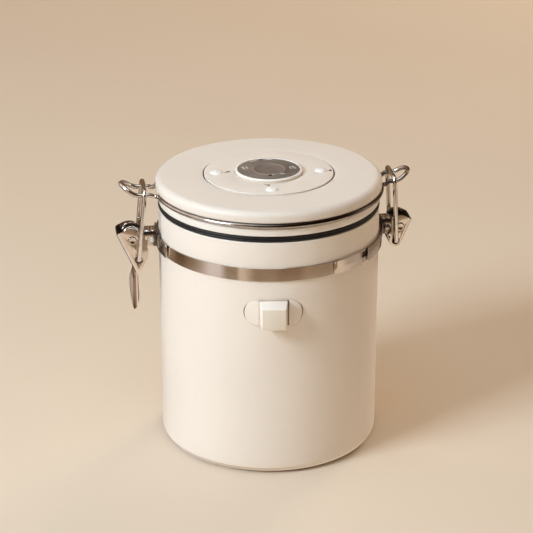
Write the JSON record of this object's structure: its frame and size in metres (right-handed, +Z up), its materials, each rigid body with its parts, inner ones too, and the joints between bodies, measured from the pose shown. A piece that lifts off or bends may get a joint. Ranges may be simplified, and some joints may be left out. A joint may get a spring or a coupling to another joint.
{
  "type": "coffee canister",
  "caption": "Round steel coffee canister with a sealed clamp lid on a wire hinge, a toggle latch, a one-way valve, a turning date dial and a front block for a scoop.",
  "frame": {"origin": "centre of the flat base, on the surface that the canister stands on", "axes": "+Z up, +X from the toggle latch towards the lid's hinge, -Y towards the front with the scoop block"},
  "size_m": [0.1617, 0.133, 0.1544],
  "materials": {
    "body_paint": "cream powder coat, satin",
    "lid_paint": "cream powder coat, satin",
    "cream_plastic": "cream moulded plastic, matt",
    "white_plastic": "white moulded plastic",
    "seal_rubber": "black silicone",
    "polished_steel": "polished stainless steel",
    "band_steel": "brushed stainless steel",
    "plate_steel": "satin stainless steel"
  },
  "bodies": {
    "canister": {"canister_body": "body_paint", "clamp_band": "band_steel", "latch_bracket": "polished_steel", "hinge_bracket": "polished_steel", "latch_anchor_rivet": "polished_steel", "hinge_anchor_rivet": "polished_steel", "latch_pin": "polished_steel", "hinge_pin": "polished_steel", "latch_spring": "polished_steel", "hinge_plates": "polished_steel", "hook_plate": "cream_plastic", "hook_block": "cream_plastic"},
    "hinge_wire": {"hinge_link": "polished_steel"},
    "lid": {"lid_base": "white_plastic", "lid_gasket": "seal_rubber", "lid_cover": "lid_paint", "lid_wire": "polished_steel", "valve_bezel": "cream_plastic", "date_plate": "plate_steel", "valve_body": "white_plastic", "valve_filter": "white_plastic"},
    "dial": {"dial_ring": "cream_plastic"},
    "flap": {"valve_flap": "seal_rubber"},
    "lever": {"latch_lever": "polished_steel"},
    "latch_wire": {"latch_link": "polished_steel"}
  },
  "joints": [
    {"name": "hinge_link_lean", "type": "hinge", "parent": "canister", "child": "hinge_wire", "pos_m": [0.0695, 0, 0.1114], "axis": [0, 1, 0], "range_deg": [0, 10]},
    {"name": "lid_opening", "type": "hinge", "parent": "hinge_wire", "child": "lid", "pos_m": [0.0673, 0, 0.149], "axis": [0, 1, 0], "range_deg": [0, 100]},
    {"name": "latch_lever_opening", "type": "hinge", "parent": "canister", "child": "lever", "pos_m": [-0.07504, 0, 0.1196], "axis": [0, 1, 0], "range_deg": [0, 120]},
    {"name": "latch_link_swing", "type": "hinge", "parent": "lever", "child": "latch_wire", "pos_m": [-0.072, 0, 0.1084], "axis": [0, 1, 0], "range_deg": [-106, 0]},
    {"name": "dial_turn", "type": "hinge", "parent": "lid", "child": "dial", "pos_m": [0, 0, 0.152], "axis": [0, 0, 1], "continuous": true},
    {"name": "valve_flap_lift", "type": "slide", "parent": "lid", "child": "flap", "axis": [0, 0, 1], "range_m": [0, 0.0008]}
  ],
  "couplings": [
    {"joint": "hinge_link_lean", "follows": "lid_opening", "ratio": 0.1},
    {"joint": "latch_link_swing", "follows": "latch_lever_opening", "ratio": -0.88}
  ]
}
